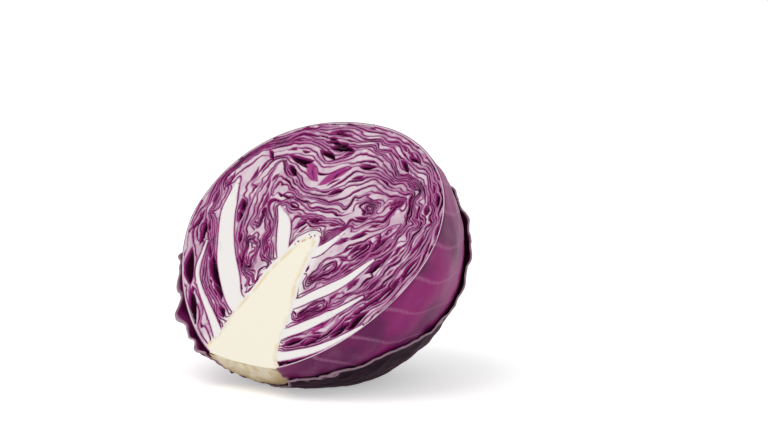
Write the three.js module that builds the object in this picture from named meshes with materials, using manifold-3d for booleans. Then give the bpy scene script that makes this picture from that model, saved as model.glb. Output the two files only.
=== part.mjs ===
// Half of a red cabbage head, cut lengthwise through its stem, resting on the back of the head.
// Millimetres, +Z up. The origin is the point of the ground straight below the centre of the cut face.
//
// The head is built in its own frame and then tipped into its resting pose:
//   X runs across the cut face, Y runs up the stem axis, and Z points out of the cut face.
// Each leaf is a cup around the heart. Its outside is the outline of the whole head, shrunk towards
// the heart, and its inside is the outside of the next leaf, less a thin gap.
import * as THREE from "three";
import { mergeVertices } from "three/addons/utils/BufferGeometryUtils.js";
import Module from "manifold-3d";

const wasm = await Module();
wasm.setup();

// Driving dimensions of the whole head, measured to the outside of the wrapper leaf.
const REACH_LEFT = 88; // from the stem axis to the left edge of the cut face
const REACH_RIGHT = 77.5; // from the stem axis to the right edge
const REACH_BACK = 82; // from the cut face to the back of the head
const WIDEST_LEVEL = 4; // where along the axis the head is widest
const RISE = 70; // from the widest level to the crown
const DROP = 80; // from the widest level to the foot of the leaves
const CROWN_POWER = 2.3; // above 2 the shoulders are fuller than an ellipse
const HEART_LEVEL = 10; // the point that every leaf closes round

// Resting pose.
const LEAN_BACK = THREE.MathUtils.degToRad(40.8); // the cut face, from upright
const ROLL = THREE.MathUtils.degToRad(4); // the stem axis, off the steepest line of the cut face
const CENTRE_HEIGHT = 72; // the centre of the cut face above the ground

// Leaves.
const LEAF_COUNT = 26;
const FIRST_LEAF = 0.967; // size of the outermost whole leaf, as a share of the head
const HEART_SIZE = 0.14; // size of the folded heart
const GAP = 0.32; // clearance between neighbouring pieces

// Facets.
const TURN_STEPS = 16; // round the stem axis, a multiple of 4 so that the cut falls on an edge
const PROFILE_STEPS = 10; // from foot to crown

// The stem from the cut butt to the growing tip. Each row is a level along the axis, the radius
// there, and how far the stem's middle stands to the right of the axis. The cut passes behind the
// stem's own middle, so the half is shallower than its radius.
const STEM_ROWS = [
  [-73, 24, 0],
  [-66, 22, -1],
  [-55, 18.5, -2.5],
  [-42, 16.5, -4],
  [-28, 13.2, -4.5],
  [-12, 8.8, -4],
  [-2, 5, -1.5],
];
const STEM_TIP = [4, 0, 0.5];
const STEM_DEPTH_SHARE = 0.8;

// Midribs that the cut runs along. Each is a list of [across, up the axis, width] down its middle.
const RIB_DEPTH = 10;
const RIBS = {
  midrib_left_large: [
    [-14, -50, 11],
    [-32, -36, 11.5],
    [-48, -18, 10],
    [-60, 0, 9],
    [-66, 15, 6],
    [-69, 28, 1.6],
  ],
  midrib_left_small: [
    [-7, -14, 8],
    [-17, 0, 8],
    [-25, 9, 6.5],
    [-33, 15, 1.6],
  ],
  midrib_right_small: [
    [2, -12, 5],
    [10, -2, 4.5],
    [18, 8, 1.2],
  ],
  midrib_right_upper: [
    [8, -41, 6],
    [22, -30, 7],
    [35, -16, 6],
    [47, -2, 2],
  ],
  midrib_right_lower: [
    [10, -60, 7],
    [24, -51, 7.5],
    [38, -38, 5.5],
    [50, -26, 2],
  ],
};

// The wrapper leaf covers the back only. Its margin lies on the plane through these points.
const WRAPPER_MARGIN = [
  [77, 0, -42],
  [20, -72, -10],
  [-88, 0, -20],
];

const skin = new THREE.MeshStandardMaterial({ color: "#7b2a63", roughness: 0.5, metalness: 0 });
const wrapperSkin = new THREE.MeshStandardMaterial({ color: "#4d1a3e", roughness: 0.6, metalness: 0 });
const pith = new THREE.MeshStandardMaterial({ color: "#f4ecd9", roughness: 0.55, metalness: 0 });
const rib = new THREE.MeshStandardMaterial({ color: "#ece6e0", roughness: 0.5, metalness: 0 });

// The head's frame, tipped back and rolled.
const cutNormal = new THREE.Vector3(0, -Math.cos(LEAN_BACK), Math.sin(LEAN_BACK));
const upTheCut = new THREE.Vector3(0, Math.sin(LEAN_BACK), Math.cos(LEAN_BACK));
const stemAxis = new THREE.Vector3(Math.sin(ROLL), 0, 0).addScaledVector(upTheCut, Math.cos(ROLL));
const across = new THREE.Vector3().crossVectors(stemAxis, cutNormal);
const upInHead = [across.z, stemAxis.z, cutNormal.z]; // the world's up, seen from the head's frame

// A closed geometry as a manifold-3d solid.
function solidFrom(geometry) {
  geometry.deleteAttribute("normal");
  geometry.deleteAttribute("uv");
  const merged = mergeVertices(geometry, 1e-4);
  return new wasm.Manifold(
    new wasm.Mesh({
      numProp: 3,
      vertProperties: merged.getAttribute("position").array,
      triVerts: new Uint32Array(merged.index.array),
    }),
  );
}

// A manifold-3d solid as a geometry with flat facets.
function geometryFrom(solid) {
  const { vertProperties, triVerts } = solid.getMesh();
  const indexed = new THREE.BufferGeometry();
  indexed.setAttribute("position", new THREE.BufferAttribute(vertProperties, 3));
  indexed.setIndex(new THREE.BufferAttribute(triVerts, 1));
  const faceted = indexed.toNonIndexed();
  faceted.computeVertexNormals();
  return faceted;
}

// The head's outline from foot to crown, as points on a circle of radius REACH_BACK.
function headProfile() {
  const points = [];
  for (let i = 0; i <= PROFILE_STEPS; i++) {
    const angle = (Math.PI * i) / PROFILE_STEPS;
    const upper = angle > Math.PI / 2;
    const power = upper ? 2 / CROWN_POWER : 1;
    const radius = i === 0 || i === PROFILE_STEPS ? 0 : REACH_BACK * Math.sin(angle) ** power;
    const level = Math.abs(Math.cos(angle)) ** power * (upper ? RISE : -DROP);
    points.push(new THREE.Vector2(radius, WIDEST_LEVEL + level));
  }
  return points;
}

// How far the head reaches in a direction round the axis: left and right differ.
function reachFactor(x, radius) {
  if (radius === 0) return 1;
  const side = x < 0 ? REACH_LEFT : REACH_RIGHT;
  const share = Math.abs(x) / radius;
  return THREE.MathUtils.lerp(1, side / REACH_BACK, share * share);
}

// The whole uncut head as one solid.
function wholeHead() {
  const geometry = new THREE.LatheGeometry(headProfile(), TURN_STEPS);
  const position = geometry.getAttribute("position");
  for (let i = 0; i < position.count; i++) {
    const x = position.getX(i);
    const z = position.getZ(i);
    const factor = reachFactor(x, Math.hypot(x, z));
    position.setX(i, x * factor);
    position.setZ(i, z * factor);
  }
  return solidFrom(geometry);
}

// The whole head shrunk towards the heart, with the flat that its weight presses into it.
const head = wholeHead();
function headOfSize(size) {
  const heartHeight = HEART_LEVEL * upInHead[1];
  const flatHeight = THREE.MathUtils.lerp(heartHeight, -CENTRE_HEIGHT, size);
  return head
    .translate([0, -HEART_LEVEL, 0])
    .scale([size, size, size])
    .translate([0, HEART_LEVEL, 0])
    .trimByPlane(upInHead, flatHeight);
}

// Keeps what lies behind the cut face.
function halved(solid) {
  return solid.trimByPlane([0, 0, -1], 0);
}

// The stem as a full turn, grown by a clearance: a lathe whose rings are then moved sideways.
function wholeStem(clearance) {
  const [butt] = STEM_ROWS;
  const rows = STEM_ROWS.map(([level, radius, shift]) => [level, radius + clearance, shift]);
  rows[0][0] -= clearance;
  rows.unshift([butt[0] - clearance, 0, butt[2]]);
  rows.push([STEM_TIP[0] + clearance, STEM_TIP[1], STEM_TIP[2]]);
  const outline = rows.map(([level, radius]) => new THREE.Vector2(radius, level));
  const geometry = new THREE.LatheGeometry(outline, TURN_STEPS);
  const position = geometry.getAttribute("position");
  for (let i = 0; i < position.count; i++) {
    const shift = rows[i % rows.length][2];
    position.setX(i, position.getX(i) + shift);
    position.setZ(i, position.getZ(i) * STEM_DEPTH_SHARE);
  }
  return solidFrom(geometry);
}

// A midrib: a tapering blade along its middle line, grown by a clearance.
function ribSolid(middle, clearance) {
  const line = new THREE.SplineCurve(middle.map(([x, y]) => new THREE.Vector2(x, y)));
  const widths = new THREE.SplineCurve(middle.map(([, , w], i) => new THREE.Vector2(i, w)));
  const steps = 10;
  const leftSide = [];
  const rightSide = [];
  for (let i = 0; i <= steps; i++) {
    const point = line.getPoint(i / steps);
    const tangent = line.getTangent(i / steps);
    const half = widths.getPoint(i / steps).y / 2 + clearance;
    leftSide.push(new THREE.Vector2(point.x - tangent.y * half, point.y + tangent.x * half));
    rightSide.unshift(new THREE.Vector2(point.x + tangent.y * half, point.y - tangent.x * half));
  }
  const outline = new THREE.Shape([...leftSide, ...rightSide]);
  const above = clearance > 0 ? 1 : 0; // a cutter runs out past the cut face
  const depth = RIB_DEPTH + clearance + above;
  const geometry = new THREE.ExtrudeGeometry(outline, { depth, bevelEnabled: false });
  return solidFrom(geometry).translate([0, 0, above - depth]);
}

const cabbage = new THREE.Group();
cabbage.name = "red_cabbage_half";
cabbage.position.z = CENTRE_HEIGHT;
cabbage.quaternion.setFromRotationMatrix(
  new THREE.Matrix4().makeBasis(across, stemAxis, cutNormal),
);

function addPiece(name, solid, material) {
  const mesh = new THREE.Mesh(geometryFrom(solid), material);
  mesh.name = name;
  cabbage.add(mesh);
}

// Stem.
addPiece("stem_core", halved(wholeStem(0)), pith);

// Midribs, cut back from the stem. Their grown copies cut a slot for them in the leaves.
const stemRoom = wholeStem(GAP);
let roomForRibs = stemRoom;
for (const [name, middle] of Object.entries(RIBS)) {
  addPiece(name, ribSolid(middle, 0).subtract(stemRoom), rib);
  roomForRibs = roomForRibs.add(ribSolid(middle, GAP));
}

// The cuts for the stem and the midribs can part a sliver from a leaf. It is left out.
function largestBody(solid) {
  return solid.decompose().reduce((best, body) => (body.volume() > best.volume() ? body : best));
}

// Leaves, outermost first. The gap is a share of the head's smallest reach.
const gapShare = GAP / (RISE + WIDEST_LEVEL - HEART_LEVEL);
const leafStep = (FIRST_LEAF - HEART_SIZE) / LEAF_COUNT;
for (let i = 0; i < LEAF_COUNT; i++) {
  const outside = FIRST_LEAF - i * leafStep;
  const inside = outside - leafStep + gapShare;
  const leaf = headOfSize(outside).subtract(headOfSize(inside)).subtract(roomForRibs);
  addPiece(`leaf_${String(i + 1).padStart(2, "0")}`, largestBody(halved(leaf)), skin);
}

// Heart: the smallest leaves, still folded together over the growing tip.
addPiece("heart", halved(headOfSize(HEART_SIZE).subtract(roomForRibs)), skin);

// Wrapper leaf: what is left of the outermost leaf, on the back of the head.
const margin = new THREE.Plane().setFromCoplanarPoints(
  ...WRAPPER_MARGIN.map((point) => new THREE.Vector3(...point)),
);
if (margin.normal.z > 0) margin.negate();
const wrapper = headOfSize(1)
  .subtract(headOfSize(FIRST_LEAF + gapShare))
  .subtract(stemRoom)
  .trimByPlane(margin.normal.toArray(), -margin.constant);
addPiece("wrapper_leaf", largestBody(wrapper), wrapperSkin);

export default cabbage;
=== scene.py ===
"""Half a red cabbage, cut lengthwise through its stem and lying on the back of the head."""

import logging
import math
from dataclasses import dataclass
from enum import Enum
from typing import Callable, ClassVar

import bmesh
import bpy
import numpy as np
from mathutils import Matrix


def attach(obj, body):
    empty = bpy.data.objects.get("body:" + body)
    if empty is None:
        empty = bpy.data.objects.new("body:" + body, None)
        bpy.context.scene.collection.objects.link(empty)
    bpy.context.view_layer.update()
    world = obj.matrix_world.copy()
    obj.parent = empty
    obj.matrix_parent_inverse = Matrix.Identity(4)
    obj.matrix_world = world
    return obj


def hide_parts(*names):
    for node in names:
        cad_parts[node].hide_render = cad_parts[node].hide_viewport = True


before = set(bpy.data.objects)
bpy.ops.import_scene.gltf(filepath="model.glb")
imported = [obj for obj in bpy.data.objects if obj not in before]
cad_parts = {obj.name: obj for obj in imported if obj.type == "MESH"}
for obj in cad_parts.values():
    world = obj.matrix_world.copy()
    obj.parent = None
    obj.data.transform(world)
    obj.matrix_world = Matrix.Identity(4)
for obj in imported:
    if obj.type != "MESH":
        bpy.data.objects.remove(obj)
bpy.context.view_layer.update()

Array = np.ndarray
Point = tuple[float, float]
RibPoint = tuple[float, float, float]

log = logging.getLogger("red_cabbage")

MM = 0.001

# --- Shape of the cut face, in millimetres: across from the stem axis, and up along it ---

BUTT_LEVEL = -73.0
BUTT_RADIUS = 23.0
BUTT_BULGE = 1.5  # how far the middle of the cut butt stands below its edge
BUTT_ZONE_TOP = -66.0  # below this level the cut shows the stem's end, with no leaf over it
AXIS_DRIFT = -3.0  # how far the crown stands to the side of the stem axis

# The head to the outside of its wrapper leaf, and the room that the wrapper leaf takes.
REACH_LEFT, REACH_RIGHT = 88.0, 77.5
WIDEST_LEVEL = 4.0
RISE = 70.0
WRAPPER_ROOM = 2.0
CROWN_LEVEL = WIDEST_LEVEL + RISE - WRAPPER_ROOM


@dataclass(frozen=True)
class Side:
    """One side of the cut's outline: a quarter curve from the butt, and one on to the crown."""

    reach: float  # from the stem axis to the edge at the widest level, below 0 to the left
    foot_power: float  # below 2 it runs in to the stem straighter than an ellipse
    crown_power: float  # above 2 the shoulder is fuller than an ellipse

    def line(self, steps: int = 60) -> Array:
        """Points from the butt's edge to the crown.

        Args:
            steps: points to each quarter.
        """
        butt_share = (BUTT_RADIUS / abs(self.reach)) ** self.foot_power
        drop = (WIDEST_LEVEL - BUTT_LEVEL) / (1 - butt_share) ** (1 / self.foot_power)
        turn = np.linspace(math.acos(math.sqrt(butt_share)), 0, steps, endpoint=False)
        bend = 2 / self.foot_power
        foot = np.stack([self.reach * np.cos(turn) ** bend, WIDEST_LEVEL - drop * np.sin(turn) ** bend], 1)
        turn = np.linspace(0, math.pi / 2, steps)
        bend = 2 / self.crown_power
        across = AXIS_DRIFT + (self.reach - AXIS_DRIFT) * np.maximum(np.cos(turn), 0) ** bend
        crown = np.stack([across, WIDEST_LEVEL + (CROWN_LEVEL - WIDEST_LEVEL) * np.sin(turn) ** bend], 1)
        return np.vstack([foot, crown])


RIGHT_SIDE = Side(REACH_RIGHT - WRAPPER_ROOM, 1.8, 2.0)
LEFT_SIDE = Side(WRAPPER_ROOM - REACH_LEFT, 1.6, 2.2)


def cut_outline() -> Array:
    """The closed outline of the cut face: up its right side, down its left and across the butt."""
    across = np.linspace(-BUTT_RADIUS, BUTT_RADIUS, 24)[1:-1]
    butt = np.stack([across, BUTT_LEVEL - BUTT_BULGE * (1 - (across / BUTT_RADIUS) ** 2)], 1)
    return np.vstack([RIGHT_SIDE.line(), LEFT_SIDE.line()[-2::-1], butt])


CORE_OUTLINE: tuple[Point, ...] = (
    (-24.5, -75), (-24, -60), (-22.6, -44), (-19.8, -33), (-17.6, -20.5), (-13, -9), (-9, 0),
    (-5, 3.4), (0, 4.2), (4, 2.5), (6, -2), (6.7, -13), (8.3, -26), (12.6, -38), (14.6, -50.5),
    (17.4, -61.5), (20.5, -68), (23, -75),
)
# How far the whiter tissue round the cream of the core reaches in, at the butt and at the tip.
RIM_AT_BUTT, RIM_AT_TIP = 1.0, 4.0
CORE_TIP_LEVEL = 4.0


@dataclass(frozen=True)
class Rib:
    """A midrib that the cut runs along, from the core outwards."""

    node: str
    leaf: int  # the leaf it belongs to, counted inwards from 0
    right_of_stem: bool
    middle: tuple[RibPoint, ...]  # across, up, width


RIBS: tuple[Rib, ...] = (
    Rib("midrib_left_large", 9, False, (
        (-18, -46, 10), (-27, -41.3, 9.5), (-36, -32, 11.5), (-47, -20, 11.3), (-55, -8.5, 10),
        (-62, 3.5, 9.5), (-64.8, 10.5, 8.8), (-67, 18, 5.2), (-68.8, 26.5, 1.8))),
    Rib("midrib_left_small", 22, False, (
        (-11, -14, 6), (-15.5, -7.5, 7.5), (-19.8, 0.5, 8.6), (-24, 7, 7.6), (-28.5, 11.3, 4.5),
        (-33, 15, 1.5))),
    Rib("midrib_right_small", 16, True, (
        (2, -8, 7), (8, -5.5, 6.5), (12, -0.5, 4.6), (15.2, 5, 2.8), (18.5, 11, 1.2))),
    Rib("midrib_right_upper", 12, True, (
        (8, -38.5, 7), (14, -35.6, 6), (20, -30.5, 6.4), (28, -24.3, 6.8), (34.5, -18, 5.6),
        (39.6, -10.5, 4.2), (44.3, -3.6, 2.0))),
    Rib("midrib_right_lower", 6, True, (
        (12, -56, 7), (19, -51.8, 6), (25, -47.6, 6.6), (31, -42.9, 5.8), (38, -36.8, 4.4),
        (45, -30, 3.2), (50.2, -24.6, 1.8))),
    Rib("leaf_01", 0, True, (
        (12, -67.5, 7), (22, -65.8, 6), (30, -62.6, 5.6), (38, -58.7, 4.8), (46, -53, 3.9),
        (53, -46.6, 3.2), (59.5, -40, 2.6))),
    Rib("leaf_04", 3, False, (
        (-20, -66, 6), (-33, -55, 4.6), (-52, -40, 3), (-61, -30, 3), (-64, -20, 2.5),
        (-66, -12, 1.6))),
)
# The pale leaf that stands out over the crown.
PALE_LEAF = Rib("leaf_10", 9, False, (
    (-75, 24, 3), (-69, 38, 4), (-58, 46, 4), (-45, 51, 4), (-32, 52, 4), (-21, 47, 3), (-12, 49, 3),
    (0, 54, 3), (16, 52, 2.5)))

# Guide lines that one leaf number keeps to. Leaves are counted inwards from 0, and the numbers
# between these lines follow by relaxation, as packed sheets share out the room they have.
LEAF_RUNS: tuple[tuple[float, tuple[Point, ...]], ...] = (
    # the folded layer round the eye of the head
    (15.5, ((-20, -29), (-28, -12), (-42, 15), (-48, 38), (-33, 31), (-15, 25), (3, 27), (15, 37),
            (33, 36), (46, 30), (43, 17), (27, 3), (17, -7))),
    # outer layers on the right, and the layer under the pale leaf
    (6.5, ((27, 51), (48, 42), (61, 26), (64, 4), (56, -18))),
    (12.6, ((-52, 30), (-49, 41), (-32, 39), (-16, 31), (-1, 42), (14, 43), (36, 42), (46, 37))),
    # the leaf round the heart
    (20.6, ((-27, 19), (-10, 15), (5, 14), (16, 17), (19, 20))),
    (24.0, ((-13, 10), (2, 9), (15, 10))),
    # outer pockets
    (5.6, ((-27, -55), (-46, -40))),
    (4.8, ((26, -56), (46, -41))),
)
# Where leaves join the core.
CORE_WALLS: tuple[tuple[float, tuple[Point, ...]], ...] = (
    (11.0, ((-24, -38), (-20, -34), (-19, -26))),
    (13.0, ((-18, -25), (-18, -21))),
    (19.0, ((-17, -19), (-15, -15))),
    (26.9, ((-12, -8), (-10, -3), (-8, 1), (-4, 4), (0, 5), (4, 3))),
    (16.0, ((7, -14), (7, -18))),
    (14.3, ((8, -20), (8, -27), (12, -35))),
    (8.3, ((13, -42), (15, -50))),
    (3.0, ((17, -59), (17, -62))),
    (6.0, ((-24, -57), (-23, -50))),
)


@dataclass(frozen=True)
class Fold:
    """A leaf end that is folded in on itself, with the others wrapped round it."""

    leaf: float  # the leaf number along its spine
    across: float
    up: float
    direction: float  # of the spine, in degrees
    half_length: float

    def spine(self) -> Array:
        """Points along the spine."""
        angle = math.radians(self.direction)
        run = np.linspace(-self.half_length, self.half_length, 60)[:, None]
        return np.array([self.across, self.up]) + run * np.array([math.cos(angle), math.sin(angle)])


FOLDS: tuple[Fold, ...] = (
    Fold(24.4, 24.5, 23, 60, 1.5),  # the eye of the head
    Fold(21.5, 39, 29, 30, 1.0),
    Fold(17.5, -41, 26, 80, 3.0),
    # in the pocket left of the small midrib
    Fold(19.5, -34, -15, 118, 8.0),
    Fold(19.0, -41, 12, 98, 7.0),
    # in the pockets between the midribs on the right
    Fold(20.4, 18, -17, 46, 7.0),
    Fold(18.5, 33, -1, 46, 5.0),
    Fold(17.2, 43, 12, 60, 6.0),
    Fold(15.5, 24, -37, 44, 7.0),
    Fold(11.5, 43, -19, 52, 8.0),
)


@dataclass(frozen=True)
class Sag:
    """A dip that every layer over the crown shares. A negative depth is a rise."""

    across: float
    up: float
    depth: float
    half_width: float
    reach: float  # how far up and down the stack it carries

    def drop(self, across: Array, up: Array) -> Array:
        """How far the layers are let down at each place."""
        off = (across - self.across) / self.half_width
        return self.depth * np.exp(-(off**2) - ((up - self.up) / self.reach) ** 2)


SAGS: tuple[Sag, ...] = (
    Sag(-18, 40, 2.5, 9, 12),  # beside the crown
    Sag(-48, 38, -2.5, 5, 12),  # the left shoulder
    Sag(9, 42, -2.5, 9, 14),  # the crown itself
    Sag(30, 40, 2.0, 7, 12),
)

# The large hollows between leaves: across, up, direction in degrees, half length, half width,
# steepness. Steep ones sink deep and are painted dark as shade. Shallow ones show the magenta skin of the
# leaf below.
HOLLOWS: tuple[tuple[float, float, float, float, float, float], ...] = (
    (-14, 55, 4, 9, 2.3, 2.4), (-21, 50, -20, 7, 2.0, 2.4), (-36, 45, -4, 10, 2.2, 2.2),
    (-25, 39, -30, 11, 3.6, 0.35), (-9, 38, 36, 11, 3.6, 0.35), (-57, 44, -35, 5, 1.5, 2.2),
    (-57, 12, -50, 5, 2.4, 1.8),
    (-2, 29, 25, 5, 1.8, 2.6), (34, 56, -25, 5, 1.5, 2.4), (31, 51, -30, 6, 1.6, 2.4),
    (9, 47, 5, 6, 1.8, 2.4), (56, 41, -45, 4, 1.0, 2.4), (72, 18, -80, 5, 1.2, 2.2),
    (59, 29, -70, 4, 1.2, 2.4), (41, 3, 50, 4, 1.6, 2.6), (46, -8, 60, 6, 2.2, 2.2),
    (54, -38, 55, 8, 2.8, 2.4), (47, -45, 50, 7, 2.4, 2.4), (35, -44, 52, 9, 3.0, 0.4),
    (64, 8, 86, 9, 1.3, 2.2), (50, -2, 75, 6, 1.4, 2.4),
    (-48, -29, -50, 15, 2.6, 2.2), (-40, -39, -42, 8, 1.7, 2.2), (-80, -3, 80, 9, 1.7, 2.2),
    (-20, 63, 5, 9, 1.2, 2.0), (62, -20, 68, 10, 1.8, 2.2), (68, -5, 82, 9, 1.6, 2.2),
    (56, -27, 62, 8, 1.6, 2.2),
    (24, -57, 35, 7, 2.0, 2.2), (34, -54, 32, 7, 1.8, 2.2), (-74, 24, 85, 7, 1.1, 2.2),
    (-72, -8, -75, 9, 2.2, 2.2), (-67, -29, -62, 13, 3.4, 2.0), (-50, -51, -42, 13, 2.8, 2.0),
    (-44, 17, -75, 6, 1.6, 1.2), (-60, -18, -60, 7, 1.3, 2.0),
)
BESIDE_RIB = 2.4  # the next leaf out runs this far beside a midrib
SMALL_HOLLOWS = 120  # tries at a small parting between two leaves
FLECK_COUNT = 10  # purple flecks in the core's growing tip
# Places where the leaves are crumpled: across, up, direction, half length, half width, strength.
CRUMPLES: tuple[tuple[float, float, float, float, float, float], ...] = (
    (-33, -12, -62, 24, 9, 0.4), (-40, 14, -75, 22, 9, 0.4), (26, -12, 42, 17, 8, 0.5),
    (30, -38, 42, 18, 6, 1), (33, 22, 20, 15, 11, 0.7), (-36, 25, -60, 12, 9, 0.5),
    (52, 10, 85, 22, 8, 0.8), (56, -20, 60, 18, 8, 0.6), (-70, -8, -75, 24, 7, 0.6),
    (-40, -45, -45, 18, 5, 0.5), (-5, 15, 0, 26, 8, 0.4), (48, -42, 45, 20, 6, 0.6),
    (-56, 25, 90, 14, 7, 0.6),
)
LEAF_COUNT = 26


# --- Helpers ---


def eased(values: Array, low: float, high: float) -> Array:
    """Smooth step from 0 at low to 1 at high."""
    share = np.clip((values - low) / (high - low), 0, 1)
    return share * share * (3 - 2 * share)


def smooth_line(points: tuple, step: float, closed: bool = False) -> Array:
    """Points along a smooth curve through the given ones.

    Args:
        points: the points that the curve passes; every column is smoothed.
        step: spacing along the curve.
        closed: True for a ring.

    Returns:
        One row per point.
    """
    rows = np.array(points, float)
    if closed:
        rows = np.vstack([rows[-1], rows, rows[0], rows[1]])
    else:
        rows = np.vstack([2 * rows[0] - rows[1], rows, 2 * rows[-1] - rows[-2]])
    pieces = []
    for i in range(1, len(rows) - 2):
        a, b, c, d = rows[i - 1 : i + 3]
        count = max(2, int(np.linalg.norm((c - b)[:2]) / step))
        t = np.arange(count)[:, None] / count
        pieces.append(
            0.5 * (2 * b + (c - a) * t + (2 * a - 5 * b + 4 * c - d) * t**2 + (3 * b - a - 3 * c + d) * t**3)
        )
    if not closed:
        pieces.append(rows[-2][None])
    return np.vstack(pieces)


def ring_distance(ring: Array, across: Array, up: Array) -> Array:
    """Distance to a closed outline, positive inside it."""
    nearest = np.full(across.shape, 1e9)
    inside = np.zeros(across.shape, bool)
    for (ax, ay), (bx, by) in zip(ring[:, :2], np.roll(ring[:, :2], -1, 0)):
        ex, ey = bx - ax, by - ay
        t = np.clip(((across - ax) * ex + (up - ay) * ey) / (ex * ex + ey * ey + 1e-12), 0, 1)
        nearest = np.minimum(nearest, (across - ax - t * ex) ** 2 + (up - ay - t * ey) ** 2)
        if ay != by:
            inside ^= ((ay > up) != (by > up)) & (across < ex * (up - ay) / ey + ax)
    return np.where(inside, 1, -1) * np.sqrt(nearest)


def waves(
    rng: np.random.Generator, x: Array, y: Array, shortest: float, longest: float, count: int = 28,
    heading: float | None = None, spread: float = math.pi,
) -> Array:
    """Smooth random waves with wavelengths in the given range and a variance of 1."""
    total = np.zeros(np.shape(x))
    for _ in range(count):
        length = rng.uniform(shortest, longest)
        angle = rng.uniform(0, math.tau) if heading is None else heading + rng.normal() * spread
        phase = rng.uniform(0, math.tau)
        total += np.cos(math.tau / length * (x * math.cos(angle) + y * math.sin(angle)) + phase)
    return total * math.sqrt(2 / count)


def waves_along(
    rng: np.random.Generator, x: Array, y: Array, heading: Array, shortest: float, longest: float
) -> Array:
    """Waves that travel along a heading that changes from place to place."""
    bins, sharpness = 8, 10
    total, weight = np.zeros(x.shape), np.zeros(x.shape)
    for i in range(bins):
        angle = math.pi * i / bins
        share = np.abs(np.cos(heading - angle)) ** sharpness
        total += share * waves(rng, x, y, shortest, longest, 14, angle, 0.28)
        weight += share * share
    return total / np.sqrt(weight + 1e-9)


def blurred(values: Array, rounds: int) -> Array:
    """The values, averaged with their neighbours a number of times."""
    for _ in range(rounds):
        wide = np.pad(values, 1, mode="edge")
        values = (
            4 * values + wide[:-2, 1:-1] + wide[2:, 1:-1] + wide[1:-1, :-2] + wide[1:-1, 2:]
        ) / 8
    return values


@dataclass(frozen=True)
class HeadFrame:
    """The head's own frame: across the cut face, up the stem axis, and out of the cut face."""

    SAME_WAY: ClassVar[float] = 0.9999  # the least cosine between facets of one flat

    centre: Array
    across: Array
    stem_axis: Array
    cut_normal: Array

    @classmethod
    def from_stem(cls, stem: bpy.types.Object) -> "HeadFrame":
        """Reads the frame from the stem's two flats: the cut face, and the butt at right angles to it."""
        polygons = stem.data.polygons
        areas, normals = np.empty(len(polygons)), np.empty(len(polygons) * 3)
        polygons.foreach_get("area", areas)
        polygons.foreach_get("normal", normals)
        normals = normals.reshape(-1, 3)
        flats = []
        while len(flats) < 2:
            alike = [np.where(normals @ n > cls.SAME_WAY, areas, 0).sum() for n in normals]
            best = int(np.argmax(alike))
            same = normals @ normals[best] > cls.SAME_WAY
            flats.append(np.average(normals[same], axis=0, weights=areas[same] + 1e-12))
            areas = np.where(same, 0, areas)
        cut_normal, butt_normal = (flat / np.linalg.norm(flat) for flat in flats)
        stem_axis = -butt_normal
        across = np.cross(stem_axis, cut_normal)
        places = np.array([v.co for v in stem.data.vertices])
        butt = places[(places @ stem_axis) < (places @ stem_axis).min() + 1e-4]
        middle = (butt @ across).min() / 2 + (butt @ across).max() / 2
        foot = (places @ stem_axis).min() - BUTT_LEVEL * MM
        face = (places @ cut_normal).max()
        return cls(middle * across + foot * stem_axis + face * cut_normal, across, stem_axis, cut_normal)

    def place(self, across: Array, up: Array, out: Array) -> Array:
        """Row-frame points in metres from head-frame millimetres."""
        return self.centre + MM * (
            np.asarray(across)[..., None] * self.across
            + np.asarray(up)[..., None] * self.stem_axis
            + np.asarray(out)[..., None] * self.cut_normal
        )


class Measure(Enum):
    """What a profile of the head gives."""

    RADIUS = 0  # distance from the stem axis
    LEVEL = 1  # place up the stem axis


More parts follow.
